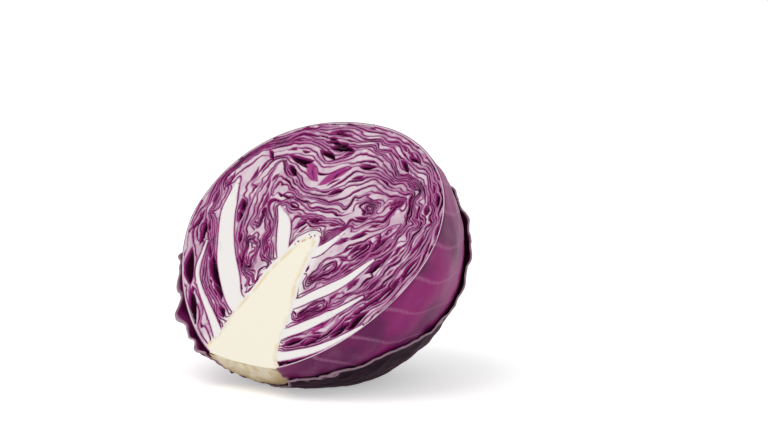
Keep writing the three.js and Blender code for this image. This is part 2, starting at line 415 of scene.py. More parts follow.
class HeadShape:
    """The outside of the head behind the cut face.

    A point has a turn round the stem axis, from 0 at the right of the cut face through the back to
    pi at its left, and a rise from 0 at the foot to 1 at the crown.
    """

    BACK_REACH = 79.3
    BACK_FOOT, BACK_WIDEST, BACK_CROWN = -73.2, 4.2, 71.9
    CROWN_POWER = 2.3
    SAMPLES = 240
    SOFTNESS = 1.2  # height over which the outside flattens on to the ground, in mm
    CLEAR = 60.0  # so many softnesses up, the ground has no effect

    def __init__(self, head: HeadFrame) -> None:
        """Works out the three profiles: right, back and left, each evenly along its length."""
        self.head = head
        angle = np.linspace(math.asin(BUTT_RADIUS / self.BACK_REACH), math.pi, self.SAMPLES)
        upper = angle > math.pi / 2
        power = np.where(upper, 2 / self.CROWN_POWER, 1.0)
        radius = self.BACK_REACH * np.maximum(np.sin(angle), 0) ** power
        span = np.where(upper, self.BACK_CROWN, self.BACK_FOOT) - self.BACK_WIDEST
        level = self.BACK_WIDEST + np.abs(np.cos(angle)) ** power * span
        back = self.even(np.stack([radius, level], 1))
        right = self.even(RIGHT_SIDE.line())
        left = self.even(LEFT_SIDE.line())
        self.rise = np.linspace(0, 1, self.SAMPLES)
        self.axis = AXIS_DRIFT * self.rise
        self.back = back
        self.right = np.stack([right[:, 0] - self.axis, right[:, 1]], 1)
        self.left = np.stack([self.axis - left[:, 0], left[:, 1]], 1)
        self.length = float(np.linalg.norm(np.diff(back, axis=0), axis=1).sum())

    def even(self, line: Array) -> Array:
        """The line resampled at even steps of its own length."""
        run = np.concatenate([[0], np.cumsum(np.linalg.norm(np.diff(line, axis=0), axis=1))])
        at = np.linspace(0, run[-1], self.SAMPLES)
        return np.stack([np.interp(at, run, line[:, i]) for i in range(2)], 1)

    def profile(self, turn: Array, rise: Array, measure: Measure) -> Array:
        """The outside's radius or level.

        Args:
            turn: turn of each point.
            rise: rise of each point.
            measure: which of the two.
        """
        column = measure.value
        side = np.where(
            turn < math.pi / 2,
            np.interp(rise, self.rise, self.right[:, column]),
            np.interp(rise, self.rise, self.left[:, column]),
        )
        share = np.sin(turn) ** 2
        return side * (1 - share) + np.interp(rise, self.rise, self.back[:, column]) * share

    def place(self, turn: Array, rise: Array, lift: Array | float, ground: float) -> Array:
        """Points on the outside, lifted along the normal.

        Args:
            turn: turn of each point.
            rise: rise of each point.
            lift: how far the points stand off the outside, in mm.
            ground: height in mm below which no point goes.
        """
        step = 1e-3

        def at(turn: Array, rise: Array) -> Array:
            """Points on the outside, in the head's frame."""
            rise = np.clip(rise, 0, 1)
            radius = self.profile(turn, rise, Measure.RADIUS)
            level = self.profile(turn, rise, Measure.LEVEL)
            across = np.interp(rise, self.rise, self.axis) + radius * np.cos(turn)
            return np.stack([across, level, -radius * np.sin(turn)], -1)

        low = np.clip(rise, 0, 1 - 3 * step)
        round_way = at(turn + step, low) - at(turn - step, low)
        up_way = at(turn, low + step) - at(turn, low - step)
        normal = np.cross(round_way, up_way)
        normal /= np.linalg.norm(normal, axis=-1, keepdims=True) + 1e-12
        local = at(turn, rise) + normal * np.asarray(lift)[..., None]
        places = self.head.place(local[..., 0], local[..., 1], local[..., 2])
        soft = self.SOFTNESS * MM
        over = (places[..., 2] - ground * MM) / soft
        eased_up = soft * np.logaddexp(0, np.minimum(over, self.CLEAR))
        places[..., 2] = ground * MM + eased_up + soft * np.maximum(over - self.CLEAR, 0)
        return places


class CutGrid:
    """A square grid over the cut face, in millimetres."""

    LEFT, RIGHT, BOTTOM, TOP = -92.0, 84.0, -82.0, 80.0

    def __init__(self, step: float) -> None:
        """Args: step: the grid's spacing."""
        self.step = step
        self.columns = self.LEFT + step * np.arange(round((self.RIGHT - self.LEFT) / step) + 1)
        self.rows = self.BOTTOM + step * np.arange(round((self.TOP - self.BOTTOM) / step) + 1)
        self.across, self.up = np.meshgrid(self.columns, self.rows)

    def turned(self, across: float, up: float, degrees: float) -> tuple[Array, Array]:
        """Distances along and off a line through a place, at each of the grid's points."""
        angle = math.radians(degrees)
        cos, sin = math.cos(angle), math.sin(angle)
        along = (self.across - across) * cos + (self.up - up) * sin
        off = -(self.across - across) * sin + (self.up - up) * cos
        return along, off

    def sample(self, values: Array, across: Array, up: Array) -> Array:
        """Values between the grid's points."""
        x = (across - self.LEFT) / self.step
        y = (up - self.BOTTOM) / self.step
        j = np.clip(x.astype(int), 0, len(self.columns) - 2)
        i = np.clip(y.astype(int), 0, len(self.rows) - 2)
        fx, fy = np.clip(x - j, 0, 1), np.clip(y - i, 0, 1)
        low = values[i, j] * (1 - fx) + values[i, j + 1] * fx
        high = values[i + 1, j] * (1 - fx) + values[i + 1, j + 1] * fx
        return low * (1 - fy) + high * fy


class CutPattern:
    """Where each leaf, midrib and hollow lies on the cut face."""

    SEED = 7
    COARSE_STEP = 1.0  # spacing of the grid that the leaf numbers are evened out on
    ROUNDS = 900  # of evening out
    OVERSTEP = 1.85  # each round moves a number this many times the way to its neighbours' mean
    RIB_ROOM_FROM = 4  # leaves further in than this one keep a neighbour beside their midrib
    RIB_END = 12  # points at a midrib's thin end that have no neighbour
    # Ranges that a small hollow's place and shape are drawn from, and the room that it needs.
    SMALL_ACROSS, SMALL_UP = (-80, 72), (-58, 64)
    SMALL_LENGTH, SMALL_SHARE, SMALL_STEEPNESS = (2.6, 5.5), (0.2, 0.32), (1.9, 2.8)
    FROM_EDGE, FROM_TISSUE = 3, 2
    # Flecks: how far from their middle, that middle, and their radius.
    FLECK_AWAY, FLECK_MIDDLE, FLECK_RADIUS = (4.5, 8.6), (-1.5, -5), (0.45, 0.7)

    def __init__(self, grid: CutGrid) -> None:
        """Works out every field of the cut face on the grid."""
        self.grid = grid
        self.inset = ring_distance(cut_outline(), grid.across, grid.up)
        self.core = ring_distance(smooth_line(CORE_OUTLINE, 1.2, True), grid.across, grid.up)
        self.ribs = {}
        for rib in RIBS:
            left, right = self.rib_sides(rib)
            self.ribs[rib.node] = ring_distance(np.vstack([left, right[::-1]]), grid.across, grid.up)
        self.any_rib = np.maximum.reduce(list(self.ribs.values()))
        self.tissue = np.maximum(self.core, self.any_rib)
        self.cream = self.core - np.interp(grid.up, (BUTT_LEVEL, CORE_TIP_LEVEL), (RIM_AT_BUTT, RIM_AT_TIP))
        self.sink = np.zeros(grid.across.shape)
        self.level = self.folded(self.relaxed())
        slope_up, slope_across = np.gradient(self.level, grid.step)
        self.crowding = np.sqrt(blurred(slope_up**2 + slope_across**2, 1) + 0.01)
        self.open_gaps()

    @staticmethod
    def rib_sides(rib: Rib, beside: float = 0.0) -> tuple[Array, Array]:
        """The left and right edges of a midrib, or lines that far beside them."""
        line = smooth_line(rib.middle, 1.0)
        run = np.gradient(line[:, :2], axis=0)
        run /= np.linalg.norm(run, axis=1)[:, None] + 1e-9
        side = np.stack([-run[:, 1], run[:, 0]], 1) * (line[:, 2:3] / 2 + beside)
        return line[:, :2] + side, line[:, :2] - side

    def relaxed(self) -> Array:
        """The leaf number over the cut face, evened out between the lines where it is known."""
        coarse = CutGrid(self.COARSE_STEP)
        inset = self.grid.sample(self.inset, coarse.across, coarse.up)
        core = self.grid.sample(self.core, coarse.across, coarse.up)
        open_room = (inset > -1) & (core < 2.5)
        butt = (coarse.up < BUTT_ZONE_TOP) & (np.abs(coarse.across) < BUTT_RADIUS - 1)
        known = (inset <= 0) & open_room & ~butt
        number = np.zeros(inset.shape)

        def pin(points: Array, value: float) -> None:
            """Fixes the leaf number along a line."""
            i = np.rint(points[:, 1] - coarse.BOTTOM).astype(int)
            j = np.rint(points[:, 0] - coarse.LEFT).astype(int)
            known[i, j] = True
            number[i, j] = value

        for value, points in LEAF_RUNS:
            pin(smooth_line(points, 0.3), value)
        for rib in (*RIBS, PALE_LEAF):
            left, right = self.rib_sides(rib)
            outer, inner = (right, left) if rib.right_of_stem else (left, right)
            pin(outer, rib.leaf)
            pin(inner, rib.leaf + 1)
            if rib.leaf > self.RIB_ROOM_FROM and rib is not PALE_LEAF:
                left, right = self.rib_sides(rib, BESIDE_RIB)
                pin((right if rib.right_of_stem else left)[: -self.RIB_END], rib.leaf - 1)
        for fold in FOLDS:
            pin(fold.spine(), fold.leaf)
        for value, points in CORE_WALLS:
            pin(smooth_line(points, 0.3), value)
        near_run = np.clip(6 * blurred(known * open_room * (inset > 0), 5), 0, 1)
        self.settled = coarse.sample(near_run, self.grid.across, self.grid.up)

        number = np.where(known, number, number[known].mean())
        room = open_room.astype(float)

        def around(values: Array) -> Array:
            """The sum of each point's four neighbours."""
            wide = np.pad(values, 1)
            return wide[:-2, 1:-1] + wide[2:, 1:-1] + wide[1:-1, :-2] + wide[1:-1, 2:]

        neighbours = np.maximum(around(room), 1)
        row, column = np.indices(number.shape)
        free = open_room & ~known
        halves = [free & ((row + column) % 2 == parity) for parity in (0, 1)]
        for _ in range(self.ROUNDS):
            for half in halves:
                mean = around(number * room) / neighbours
                number[half] += self.OVERSTEP * (mean[half] - number[half])
        drop = sum(sag.drop(self.grid.across, self.grid.up) for sag in SAGS)
        drop = drop * eased(-self.tissue, 0.0, 6.0) * eased(self.inset, 2.0, 14.0)
        return blurred(coarse.sample(number, self.grid.across, self.grid.up + drop), 3)

    def small_hollows(self, number: Array, heading: Array) -> list[tuple[float, ...]]:
        """Chooses places along the lines between leaves where two of them part a little.

        Args:
            number: the evenly packed leaf number.
            heading: the way the leaves run, in radians.

        Returns:
            One row for each hollow, as in HOLLOWS.
        """
        rng = np.random.default_rng(self.SEED + 2)
        slope_up, slope_across = np.gradient(number, self.grid.step)
        made = []
        for _ in range(SMALL_HOLLOWS):
            place = np.array([rng.uniform(*self.SMALL_ACROSS), rng.uniform(*self.SMALL_UP)])
            length = rng.uniform(*self.SMALL_LENGTH)
            share = rng.uniform(*self.SMALL_SHARE)
            steepness = rng.uniform(*self.SMALL_STEEPNESS)
            for _ in range(3):
                here, run_x, run_y = (
                    float(self.grid.sample(values, *place[:, None])[0])
                    for values in (number, slope_across, slope_up)
                )
                step = (round(here) - here) / max(run_x**2 + run_y**2, 0.02)
                place = place + np.clip(step * np.array([run_x, run_y]), -3, 3)
            inset, tissue, angle = (
                float(self.grid.sample(values, *place[:, None])[0])
                for values in (self.inset, self.tissue, heading)
            )
            if inset > self.FROM_EDGE and tissue < -self.FROM_TISSUE:
                made.append((*place, math.degrees(angle), length, length * share, steepness))
        return made

    def folded(self, number: Array) -> Array:
        """Adds the hollows, waves and crumples to the evenly packed leaves."""
        rng = np.random.default_rng(self.SEED)
        grid = self.grid
        smooth = blurred(number, 90)
        slope_up, slope_across = np.gradient(smooth, grid.step)
        slope = np.hypot(slope_across, slope_up) + 1e-6
        heading = np.arctan2(slope_across, -slope_up)
        x, y = grid.across.copy(), grid.up.copy()
        calm = np.ones(number.shape)
        hollows = (*HOLLOWS, *self.small_hollows(number, heading))
        for across, up, degrees, length, width, slope_down in hollows:
            along, off = grid.turned(across, up, degrees)
            off = off + 0.10 * length * np.sin(2.2 * along / length + across)
            half = width * np.clip(1 - (along / length) ** 2, 0, 1)
            fall = np.exp(-((np.abs(off) / (2.6 * width + 2.5)) ** 2))
            shift = half * np.tanh(1.8 * off / np.maximum(half, 0.2)) * fall
            x += shift * math.sin(math.radians(degrees))
            y -= shift * math.cos(math.radians(degrees))
            inside = np.where(np.abs(along) < length, half - np.abs(off), -9)
            self.sink = np.maximum(self.sink, slope_down * inside)
            here = float(grid.sample(number, np.array(float(across)), np.array(float(up))))
            window = np.exp(-((along / (1.2 * length)) ** 2) - (off / (2 * width + 2)) ** 2)
            number = number + (round(here) - here) * window
            calm *= 1 - 0.75 * window
        crumple = np.zeros(number.shape)
        for across, up, degrees, length, width, strength in CRUMPLES:
            along, off = grid.turned(across, up, degrees)
            fall = np.exp(-((along / length) ** 2) - (off / width) ** 2)
            crumple = np.maximum(crumple, strength * fall)
        deep = eased(self.inset, 0.3, 7)
        loose = eased(-self.any_rib, 0.2, 3.0) * eased(-self.core, 0.0, 2.0) * calm
        loose = loose * (1 - 0.6 * self.settled)
        restless = np.clip(0.45 + 0.5 * waves(rng, x, y, 18, 40), 0, 1.5) + 0.6 * crumple
        wave = (
            0.95 * waves_along(rng, x, y, heading, 16, 28)
            + 0.5 * restless * waves_along(rng, x, y, heading, 8, 14)
            + 0.14 * restless * waves_along(rng, x, y, heading, 4.5, 7)
        )
        wave = (wave + 0.12 * wave * np.abs(wave)) * loose * (0.35 + 0.65 * deep) * (0.8 + 0.3 * crumple)
        big_x, big_y = waves(rng, x, y, 9, 15), waves(rng, x, y, 9, 15)
        bent_x, bent_y = x + 1.5 * big_x, y + 1.5 * big_y
        small_x, small_y = waves(rng, bent_x, bent_y, 5, 8), waves(rng, bent_x, bent_y, 5, 8)
        fold = loose * deep * (0.15 + 0.75 * crumple)
        from_x = x + wave * slope_across / slope + fold * (1.7 * big_x + 0.75 * small_x)
        from_y = y + wave * slope_up / slope + fold * (1.7 * big_y + 0.75 * small_y)
        number = grid.sample(number, from_x, from_y)
        number = number + loose * deep * (0.06 + 0.3 * crumple) * 0.8 * waves(rng, x, y, 7, 13)
        uneven = waves(rng, x + 9 * number, y - 7 * number, 16, 40)
        number = number + 0.26 * loose * deep * uneven
        return blurred(number, 3)

    def open_gaps(self) -> None:
        """Adds narrow openings along the lines between leaves, and along the midribs."""
        rng = np.random.default_rng(self.SEED + 1)
        line = np.rint(self.level)
        grid = self.grid
        gape = waves(rng, grid.across + 31 * line, grid.up + 47 * line, 7, 18)
        opening = np.minimum(np.clip(gape - 0.7, 0, 1.1) * 0.75, 0.32 / self.crowding)
        beside_line = opening - np.abs(self.level - line) / self.crowding
        rib_gape = waves(rng, grid.across, grid.up, 9, 20)
        beside_rib = np.clip(rib_gape - 0.4, 0, 1) * 0.6 + self.tissue
        found = 3.2 * np.maximum(beside_line, np.where(self.any_rib < 0, beside_rib, -9))
        free = (self.tissue < 0) & (self.inset > 1.5)
        self.sink = np.maximum(np.where(self.tissue < 0, self.sink, 0), np.where(free, found, 0))
        for _ in range(FLECK_COUNT):
            turn, away = rng.uniform(0.0, math.pi), rng.uniform(*self.FLECK_AWAY)
            across = away * math.cos(turn) + self.FLECK_MIDDLE[0]
            up = away * math.sin(turn) + self.FLECK_MIDDLE[1]
            off = np.hypot(grid.across - across, grid.up - up + 0.35 * (grid.across - across))
            self.sink = np.maximum(self.sink, 1.6 * (rng.uniform(*self.FLECK_RADIUS) - off))

    def band(self, leaf: int) -> Array:
        """Distance into one leaf from its nearer side, positive inside it."""
        depth = np.minimum(self.level - leaf, leaf + 1 - self.level)
        if leaf >= LEAF_COUNT:
            depth = self.level - leaf
        return depth / self.crowding


# --- Meshes ---

# For each set of a cell's filled corners, the polygons that cover it. Corners are 0 to 3 and the
# sides between them 4 to 7, counter-clockwise from the lower left.
CELL_SHAPES: dict[int, tuple[tuple[int, ...], ...]] = {
    1: ((0, 4, 7),), 2: ((1, 5, 4),), 3: ((0, 1, 5, 7),), 4: ((2, 6, 5),),
    5: ((0, 4, 5, 2, 6, 7),), 6: ((1, 2, 6, 4),), 7: ((0, 1, 2, 6, 7),), 8: ((3, 7, 6),),
    9: ((0, 4, 6, 3),), 10: ((1, 5, 4), (3, 7, 6)), 11: ((0, 1, 5, 6, 3),), 12: ((2, 3, 7, 5),),
    13: ((0, 4, 5, 2, 3),), 14: ((1, 2, 3, 7, 4),), 15: ((0, 1, 2, 3),),
}


@dataclass
class Sheet:
    """A flat sheet cut out of a grid: its points in grid steps, and its polygons."""

    column: Array
    row: Array
    polygons: list[Array]

    @classmethod
    def from_field(cls, field: Array, chosen: Array | None = None) -> "Sheet":
        """The part of a grid where a field is positive.

        Args:
            field: one value per grid point.
            chosen: cells to keep, or None for all of them.
        """
        rows, columns = field.shape
        filled = field > 0
        corner = np.arange(rows * columns).reshape(rows, columns)
        beside = corner + rows * columns
        above = beside + rows * columns
        code = (
            filled[:-1, :-1] * 1 + filled[:-1, 1:] * 2 + filled[1:, 1:] * 4 + filled[1:, :-1] * 8
        )
        if chosen is not None:
            code = np.where(chosen, code, 0)
        tokens = np.stack([
            corner[:-1, :-1], corner[:-1, 1:], corner[1:, 1:], corner[1:, :-1],
            beside[:-1, :-1], above[:-1, 1:], beside[1:, :-1], above[:-1, :-1],
        ])
        polygons = []
        for kind, shapes in CELL_SHAPES.items():
            cells = tokens[:, code == kind]
            polygons += [cells[list(shape)].T for shape in shapes if cells.shape[1]]
        if not polygons:
            return cls(np.empty(0), np.empty(0), [])
        used, flat = np.unique(np.concatenate([p.ravel() for p in polygons]), return_inverse=True)
        start, renumbered = 0, []
        for block in polygons:
            renumbered.append(flat[start : start + block.size].reshape(block.shape))
            start += block.size
        kind, place = np.divmod(used, rows * columns)
        row, column = np.divmod(place, columns)
        next_row = np.minimum(row + (kind == 2), rows - 1)
        next_column = np.minimum(column + (kind == 1), columns - 1)
        here, there = field[row, column], field[next_row, next_column]
        change = np.where(np.abs(here - there) < 1e-12, 1, here - there)
        share = np.where(kind == 0, 0, np.clip(here / change, 0.02, 0.98))
        return cls(column + share * (kind == 1), row + share * (kind == 2), renumbered)

    def sample(self, values: Array) -> Array:
        """Grid values at the sheet's points."""
        i = np.clip(self.row.astype(int), 0, values.shape[0] - 2)
        j = np.clip(self.column.astype(int), 0, values.shape[1] - 2)
        fy, fx = self.row - i, self.column - j
        low = values[i, j] * (1 - fx) + values[i, j + 1] * fx
        high = values[i + 1, j] * (1 - fx) + values[i + 1, j + 1] * fx
        return low * (1 - fy) + high * fy


def sheet_mesh(name: str, places: Array, sheet: Sheet, marks: dict[str, Array]) -> bpy.types.Mesh:
    """A mesh of a sheet with each point in its place and its marks as attributes."""
    mesh = bpy.data.meshes.new(name)
    faces = [face for block in sheet.polygons for face in block.tolist()]
    mesh.from_pydata(places.tolist(), [], faces)
    for mark, values in marks.items():
        mesh.attributes.new(mark, "FLOAT", "POINT").data.foreach_set("value", values.astype(np.float32))
    return mesh


def drop_crumbs(bm: bmesh.types.BMesh, smallest: float) -> None:
    """Deletes loose islands with less area than smallest, in square metres."""
    seen: set[int] = set()
    doomed: list[bmesh.types.BMFace] = []
    bm.faces.ensure_lookup_table()
    for first in bm.faces:
        if first.index in seen:
            continue
        seen.add(first.index)
        island, queue = [first], [first]
        while queue:
            face = queue.pop()
            for edge in face.edges:
                for other in edge.link_faces:
                    if other.index not in seen:
                        seen.add(other.index)
                        island.append(other)
                        queue.append(other)
        if sum(face.calc_area() for face in island) < smallest:
            doomed += island
    bmesh.ops.delete(bm, geom=doomed, context="FACES")


def thicken(
    mesh: bpy.types.Mesh, offset: Callable[[Array, Array], Array], below_rind: float = 0.0,
    smooth_below: bool = False, facing: Array | None = None,
) -> None:
    """Gives a sheet its thickness: extrudes it and moves the copy to be the underside.

    Args:
        mesh: the sheet; its faces become the top.
        offset: from the top's points and normals to where the underside's points go.
        below_rind: the rind attribute all over the underside.
        smooth_below: True to shade the underside smooth as well.
        facing: for a flat sheet, the way it faces; its underside is then a few large faces.
    """
    bm = bmesh.new()
    bm.from_mesh(mesh)
    drop_crumbs(bm, 0.6 * MM * MM)
    bmesh.ops.remove_doubles(bm, verts=bm.verts[:], dist=1e-7)
    tops = bm.faces[:]
    for face in tops:
        face.smooth = True
    bm.normal_update()
    if facing is None:
        made = bmesh.ops.extrude_face_region(bm, geom=tops, use_keep_orig=True)["geom"]
    else:
        made = bmesh.ops.extrude_edge_only(bm, edges=[edge for edge in bm.edges if edge.is_boundary])["geom"]
    below = [item for item in made if isinstance(item, bmesh.types.BMVert)]
    if below:
        bm.normal_update()
        places = offset(np.array([vert.co for vert in below]), np.array([vert.normal for vert in below]))
        layer = bm.verts.layers.float["rind"]
        for vert, place in zip(below, places):
            vert.co = place
            vert[layer] = below_rind
    for item in made:
        if isinstance(item, bmesh.types.BMFace):
            item.smooth = smooth_below
    if facing is not None:
        rim = [edge for edge in bm.edges if edge.is_boundary]
        bmesh.ops.triangle_fill(bm, edges=rim, normal=-facing, use_beauty=False)
        slits = [edge for edge in bm.edges if edge.is_boundary]
        bmesh.ops.collapse(bm, edges=slits)
        open_edges = sum(edge.is_boundary for edge in bm.edges)
        if open_edges:
            log.warning("%s: %d open edges", mesh.name, open_edges)
    bmesh.ops.recalc_face_normals(bm, faces=bm.faces[:])
    bm.to_mesh(mesh)
    bm.free()


def show(mesh: bpy.types.Mesh, name: str, material: bpy.types.Material) -> bpy.types.Object:
    """Makes an object of a mesh, dresses it and puts it in the scene."""
    piece = bpy.data.objects.new(name, mesh)
    mesh.materials.append(material)
    bpy.context.scene.collection.objects.link(piece)
    return piece


def stand_for(piece: bpy.types.Object, node: str) -> None:
    """The piece rides on the head and replaces a CAD node."""
    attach(piece, "root")
    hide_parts(node)
    log.info("%s: %d faces", piece.name, len(piece.data.polygons))


# --- Finishes ---


def linear(colour: str) -> tuple[float, float, float, float]:
    """The scene-linear value of an sRGB hex colour."""
    channels = [int(colour[i : i + 2], 16) / 255 for i in (1, 3, 5)]
    return (*(c / 12.92 if c <= 0.04045 else ((c + 0.055) / 1.055) ** 2.4 for c in channels), 1.0)


def add_node(
    tree: bpy.types.NodeTree, kind: str, settings: dict | None = None, links: dict | None = None
) -> bpy.types.Node:
    """Adds one node.

    Args:
        tree: the material's node tree.
        kind: the node's type.
        settings: values by the name of a property, or by the name or number of an input.
        links: sockets that feed an input, by its name or number.

    Returns:
        The new node.
    """
    node = tree.nodes.new(kind)
    for key, value in (settings or {}).items():
        if isinstance(key, str) and hasattr(node, key):
            setattr(node, key, value)
        else:
            node.inputs[key].default_value = linear(value) if isinstance(value, str) else value
    for key, socket in (links or {}).items():
        tree.links.new(socket, node.inputs[key])
    return node


def mixed(tree: bpy.types.NodeTree, share: object, first: object, second: object) -> bpy.types.NodeSocket:
    """Colour that goes from first to second with share; each is a socket, a hex colour or a number."""
    settings: dict = {"data_type": "RGBA"}
    links = {}
    for key, value in ((0, share), (6, first), (7, second)):
        (links if isinstance(value, bpy.types.NodeSocket) else settings)[key] = value
    return add_node(tree, "ShaderNodeMix", settings, links).outputs[2]


def ramped(
    tree: bpy.types.NodeTree, value: bpy.types.NodeSocket, low: float, high: float,
    start: float = 0.0, end: float = 1.0,
) -> bpy.types.NodeSocket:
    """A value eased from start at low to end at high."""
    return add_node(
        tree, "ShaderNodeMapRange", {"interpolation_type": "SMOOTHSTEP", 1: low, 2: high, 3: start, 4: end},
        {0: value},
    ).outputs[0]


def noise(
    tree: bpy.types.NodeTree, size: float, detail: float = 2.0, **settings: object
) -> bpy.types.NodeSocket:
    """Noise with features of a size in millimetres, on the object's own coordinates."""
    place = add_node(tree, "ShaderNodeTexCoord").outputs["Object"]
    values = {"Scale": 1 / (size * MM), "Detail": detail, **settings}
    return add_node(tree, "ShaderNodeTexNoise", values, {"Vector": place}).outputs["Fac"]


def worked_out(
    tree: bpy.types.NodeTree, operation: str, first: bpy.types.NodeSocket,
    second: bpy.types.NodeSocket | None = None,
) -> bpy.types.NodeSocket:
    """The result of a sum on one or two values."""
    links = {0: first} if second is None else {0: first, 1: second}
    return add_node(tree, "ShaderNodeMath", {"operation": operation}, links).outputs[0]


def new_material(name: str) -> tuple[bpy.types.Material, bpy.types.NodeTree]:
    """An empty node material."""
    material = bpy.data.materials.new(name)
    material.use_nodes = True
    material.node_tree.nodes.clear()
    return material, material.node_tree


def finish_material(
    tree: bpy.types.NodeTree, colour: bpy.types.NodeSocket, height: bpy.types.NodeSocket,
    settings: dict, depth: float, links: dict | None = None,
) -> None:
    """Closes a material with a Principled shader.

    Args:
        tree: the material's nodes.
        colour: the base colour.
        height: the relief.
        settings: the shader's own sockets.
        depth: how far the relief stands, in millimetres.
        links: more sockets that feed the shader.
    """
    bump = add_node(tree, "ShaderNodeBump", {"Distance": depth * MM, "Strength": 1.0}, {"Height": height})
    shader = add_node(
        tree, "ShaderNodeBsdfPrincipled", settings,
        {"Base Color": colour, "Normal": bump.outputs[0], **(links or {})},
    )
    add_node(tree, "ShaderNodeOutputMaterial", None, {"Surface": shader.outputs[0]})


def mark(tree: bpy.types.NodeTree, name: str) -> bpy.types.NodeSocket:
    """A mesh attribute as a value."""
    return add_node(tree, "ShaderNodeAttribute", {"attribute_name": name}).outputs["Fac"]


@dataclass(frozen=True)
class CutFlesh:
    """Freshly cut leaf and stem tissue: moist and nearly white inside, under a thin purple skin.

    It gives the eye crisp purple lines that fade into pale lavender, and a soft wet sheen. Where the cut
    sinks into hollows and gaps, its colour goes to magenta and then to a painted shade.
    """

    name: str = "cut_cabbage_flesh"
    skin: str = "#93186f"
    dull_skin: str = "#6c2558"
    edge_flesh: str = "#b0669a"
    flesh: str = "#e0cdd6"
    shaded_flesh: str = "#c6a3b8"
    thin_flesh: str = "#ab859b"
    pith: str = "#f2eeeb"
    core: str = "#f9f2e0"
    vessel: str = "#efdab0"
    hollow: str = "#a62b82"
    # painted shade: the near-black purple that the deepest hollows and gaps darken to; the core's purple
    # flecks take a little of it as their own colour
    deep: str = "#3a0428"
    skin_depth: float = 0.32  # how deep the purple reaches in, in mm

    def build(self) -> bpy.types.Material:
        """Builds the material."""
        material, tree = new_material(self.name)
        rind, sink = mark(tree, "rind"), mark(tree, "sink")
        patches, streaks = noise(tree, 16, 3), noise(tree, 2.6, 3)
        flesh = mixed(tree, ramped(tree, patches, 0.42, 0.66), self.flesh, self.shaded_flesh)
        flesh = mixed(tree, ramped(tree, streaks, 0.5, 0.72, 0, 0.35), flesh, self.shaded_flesh)
        flesh = mixed(tree, ramped(tree, mark(tree, "thick"), 1.2, 2.8, 1, 0), flesh, self.thin_flesh)
        skin = mixed(tree, ramped(tree, noise(tree, 11, 2), 0.4, 0.6), self.skin, self.dull_skin)
        wobble = add_node(
            tree, "ShaderNodeMath", {"operation": "MULTIPLY_ADD", 1: -0.5, 2: 0.25}, {0: streaks}
        ).outputs[0]
        reach = worked_out(tree, "ADD", rind, wobble)
        flesh = mixed(tree, ramped(tree, reach, 0.26, 0.95), self.edge_flesh, flesh)
        colour = mixed(tree, ramped(tree, reach, 0.08, self.skin_depth), skin, flesh)
        cream = mark(tree, "cream")
        white = mixed(tree, ramped(tree, cream, -0.6, 0.8), self.pith, self.core)
        vessels = ramped(tree, worked_out(tree, "ABSOLUTE", cream), 0.2, 1.9, 0.9, 0)
        vessels = worked_out(tree, "MULTIPLY", vessels, ramped(tree, noise(tree, 7, 3), 0.35, 0.6))
        white = mixed(tree, vessels, white, self.vessel)
        pith = worked_out(tree, "MULTIPLY", mark(tree, "pith"), ramped(tree, rind, 0.1, 0.6))
        colour = mixed(tree, pith, colour, white)
        colour = mixed(tree, ramped(tree, sink, 0.0, 0.45), colour, self.hollow)
        # painted shade: the deeper a place sinks, the darker it is painted
        colour = mixed(tree, ramped(tree, sink, 0.6, 2.4), colour, self.deep)
        sheen = {"Roughness": 0.42, "IOR": 1.4, "Specular IOR Level": 0.4}
        finish_material(tree, colour, noise(tree, 0.9, 3), sheen, 0.08)
        return material


@dataclass(frozen=True)
class LeafSkin:
    """The outside of a living leaf: smooth and purple, under a waxy bloom, with pale veins."""

    name: str = "red_cabbage_leaf_skin"
    skin: str = "#961870"
    dark: str = "#651150"
    bloom: str = "#96557f"
    vein: str = "#c783ac"
    flesh: str = "#e6d6de"

    def build(self) -> bpy.types.Material:
        """Builds the material."""
        material, tree = new_material(self.name)
        colour = mixed(tree, ramped(tree, noise(tree, 34, 3), 0.4, 0.64), self.skin, self.dark)
        colour = mixed(
            tree, ramped(tree, noise(tree, 26, 5, Roughness=0.6), 0.5, 0.72, 0, 0.5), colour, self.bloom
        )
        colour = mixed(tree, ramped(tree, mark(tree, "rise"), 0.3, 0.8, 0, 0.4), colour, self.bloom)
        colour = mixed(tree, ramped(tree, mark(tree, "vein"), 0.1, 0.8, 0, 0.6), colour, self.vein)
        colour = mixed(tree, ramped(tree, mark(tree, "rind"), 0.35, 0.6), colour, self.flesh)
        sheen = {"Roughness": 0.45, "IOR": 1.4, "Specular IOR Level": 0.3}
        finish_material(tree, colour, noise(tree, 1.6, 4), sheen, 0.06)
        return material


@dataclass(frozen=True)
class WrapperSkin:
    """An old outer leaf: darker, partly as old leaves are and partly as painted shade for where it lies low
    under the head; matt, with faint veins and a dry, pale margin.
    """

    name: str = "old_cabbage_leaf_skin"
    # skin and dark: partly the old leaf's own purple, partly painted shade for the dark under the head
    skin: str = "#4a0b33"
    dark: str = "#210519"
    bloom: str = "#5c2345"
    vein: str = "#712f5b"
    fresh: str = "#6f1753"
    dry: str = "#bfa0b0"

    def build(self) -> bpy.types.Material:
        """Builds the material."""
        material, tree = new_material(self.name)
        colour = mixed(tree, ramped(tree, noise(tree, 30, 4), 0.36, 0.62), self.skin, self.dark)
        colour = mixed(
            tree, ramped(tree, noise(tree, 18, 5, Roughness=0.65), 0.5, 0.75, 0, 0.4), colour, self.bloom
        )
        colour = mixed(tree, ramped(tree, mark(tree, "vein"), 0.15, 0.9, 0, 0.9), colour, self.vein)
        colour = mixed(tree, mark(tree, "fresh"), colour, self.fresh)
        margin = ramped(tree, mark(tree, "margin"), 0.2, 1.5, 0.8, 0)
        colour = mixed(tree, margin, colour, self.dry)
        sheen = {"Roughness": 0.6, "IOR": 1.4, "Specular IOR Level": 0.08}
        finish_material(tree, colour, noise(tree, 2.2, 5), sheen, 0.15)
        return material


